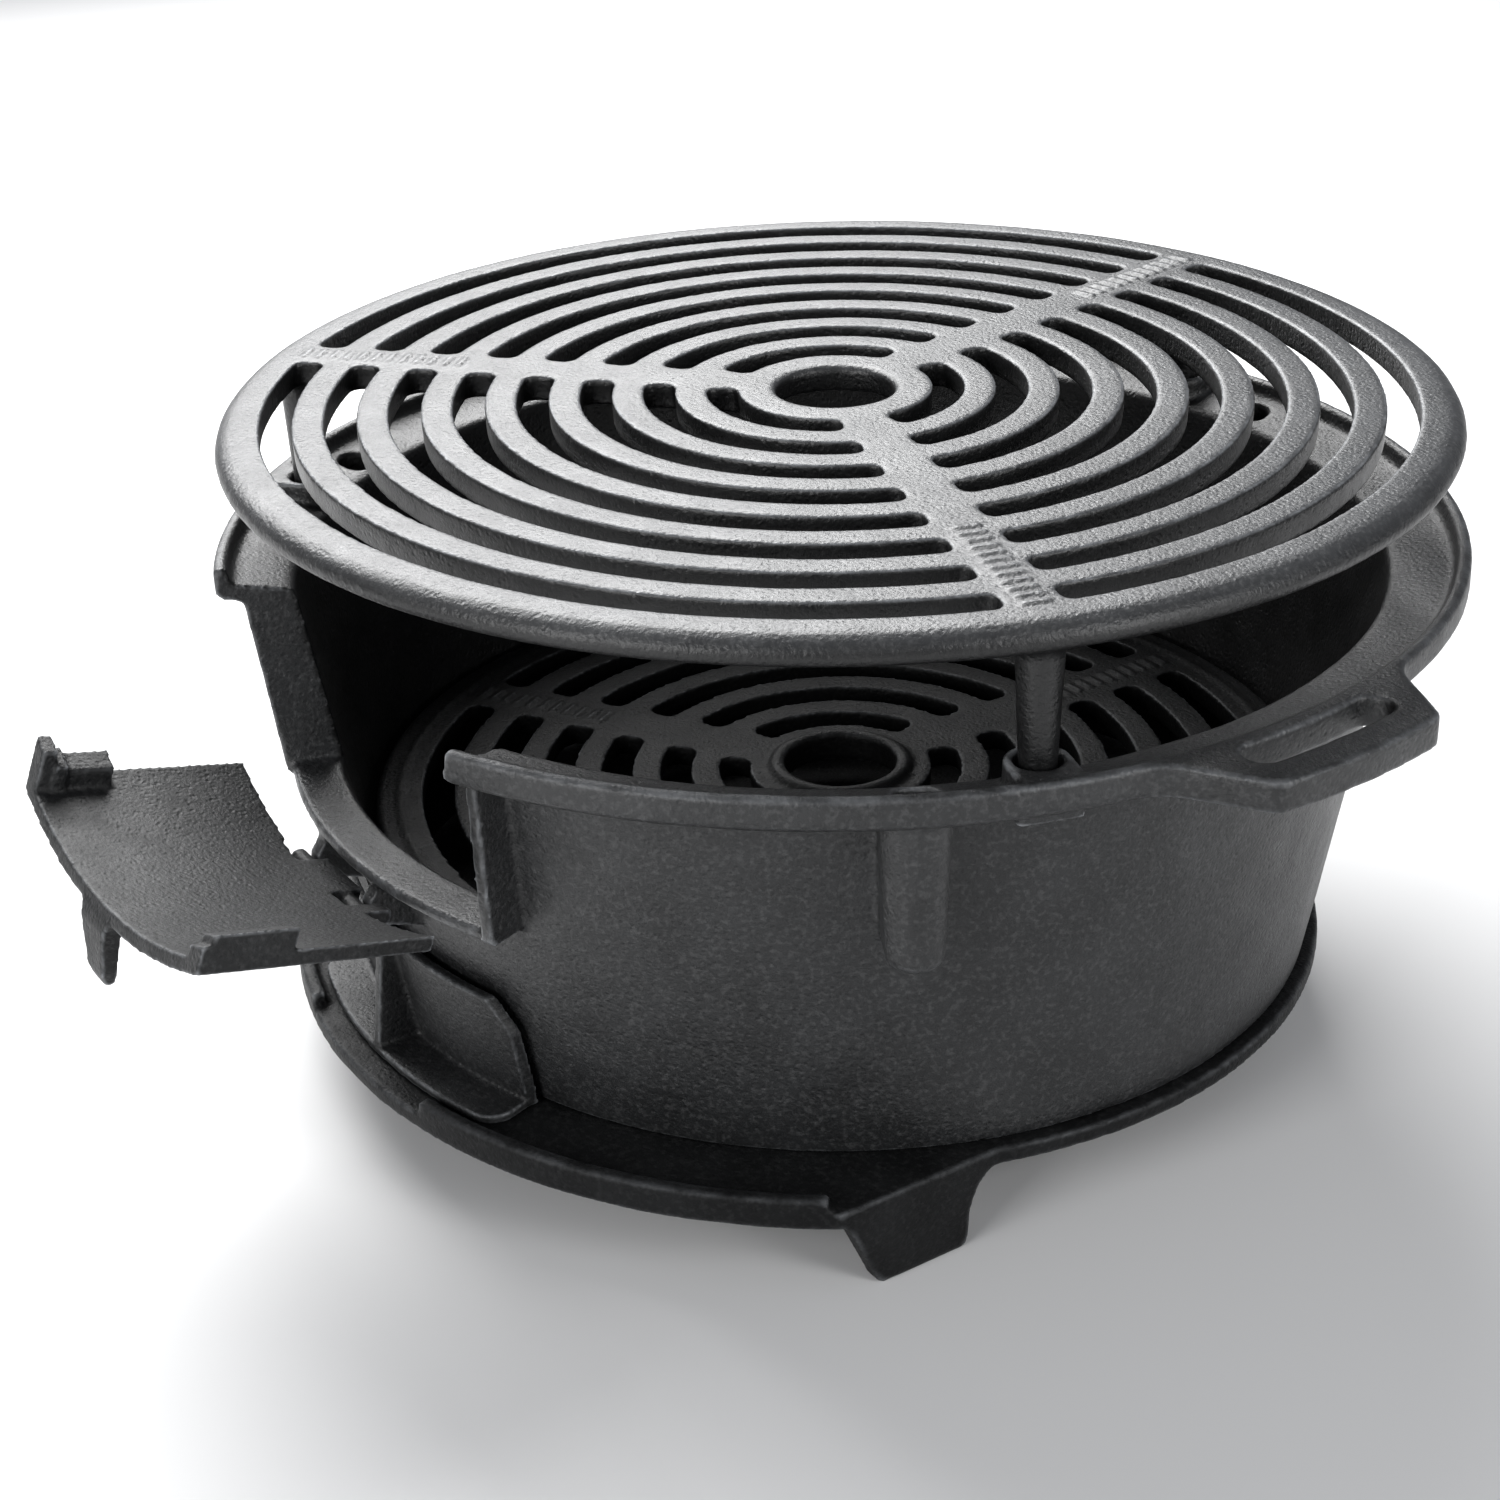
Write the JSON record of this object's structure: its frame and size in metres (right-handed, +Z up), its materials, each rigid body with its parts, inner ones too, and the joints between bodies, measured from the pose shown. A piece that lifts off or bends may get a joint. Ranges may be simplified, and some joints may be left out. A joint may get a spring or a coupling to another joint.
{
  "type": "cast iron table grill",
  "caption": "Round cast-iron charcoal grill: footed base plate, conical fire bowl with hinged fuel door and sliding air shutter, coal grate, slotted cooking grate on legs.",
  "frame": {"origin": "on the ground, under the middle of the footprint with the door open: the bowl's axis stands 33.5 mm further back, at x = 0, y = +0.0335", "axes": "+Z up along the bowl's axis, the fuel door and air shutter face -Y, +X is to the right of someone who faces the door, one carrying handle towards +X and one towards -X"},
  "size_m": [0.4712, 0.4865, 0.2245],
  "materials": {
    "base_iron": "rough",
    "bowl_iron": "rough",
    "coal_grate_iron": "rough",
    "cooking_grate_iron": "satin",
    "door_iron": "rough",
    "shutter_iron": "rough"
  },
  "bodies": {
    "base": {"base_plate": "base_iron", "apron_lip_left": "base_iron", "apron_lip_right": "base_iron", "foot_front_left": "base_iron", "foot_front_right": "base_iron", "foot_back": "base_iron"},
    "bowl": {"bowl_front": "bowl_iron", "bowl_wall_1": "bowl_iron", "bowl_wall_2": "bowl_iron", "bowl_wall_3": "bowl_iron", "bowl_wall_4": "bowl_iron", "bowl_wall_5": "bowl_iron", "bowl_wall_6": "bowl_iron", "bowl_rim": "bowl_iron", "handle_left": "bowl_iron", "handle_right": "bowl_iron", "jamb_left": "bowl_iron", "jamb_right": "bowl_iron", "fuel_sill": "bowl_iron", "hinge_hook_left": "bowl_iron", "hinge_hook_right": "bowl_iron", "leg_socket_1": "bowl_iron", "leg_socket_2": "bowl_iron", "leg_socket_3": "bowl_iron", "leg_pocket_1": "bowl_iron", "leg_pocket_2": "bowl_iron", "leg_pocket_3": "bowl_iron", "coal_grate_lug_1": "bowl_iron", "coal_grate_lug_2": "bowl_iron", "coal_grate_lug_3": "bowl_iron"},
    "coal_grate": {"coal_grate": "coal_grate_iron"},
    "cooking_grate": {"cooking_grate": "cooking_grate_iron", "grate_leg_1": "cooking_grate_iron", "grate_leg_2": "cooking_grate_iron", "grate_leg_3": "cooking_grate_iron"},
    "door": {"fuel_door": "door_iron", "door_tab": "door_iron", "door_lug": "door_iron", "door_rib_left": "door_iron", "door_rib_right": "door_iron", "door_pin_left": "door_iron", "door_pin_right": "door_iron"},
    "shutter": {"shutter_plate": "shutter_iron", "shutter_foot": "shutter_iron", "shutter_grip": "shutter_iron"}
  },
  "joints": [
    {"name": "bowl_lift", "type": "slide", "parent": "base", "child": "bowl", "axis": [0, 0, 1], "range_m": [0, 0.25]},
    {"name": "coal_grate_lift", "type": "slide", "parent": "bowl", "child": "coal_grate", "axis": [0, 0, 1], "range_m": [0, 0.1]},
    {"name": "cooking_grate_lift", "type": "slide", "parent": "bowl", "child": "cooking_grate", "axis": [0, 0, 1], "range_m": [0, 0.15]},
    {"name": "door_hinge", "type": "hinge", "parent": "bowl", "child": "door", "pos_m": [0, -0.1625, 0.097], "axis": [-1, 0, 0], "range_deg": [0, 68.35]},
    {"name": "shutter_slide_round", "type": "hinge", "parent": "base", "child": "shutter", "pos_m": [0, 0.0335, 0.035], "axis": [0, 0, 1], "range_deg": [-35, 35]}
  ]
}
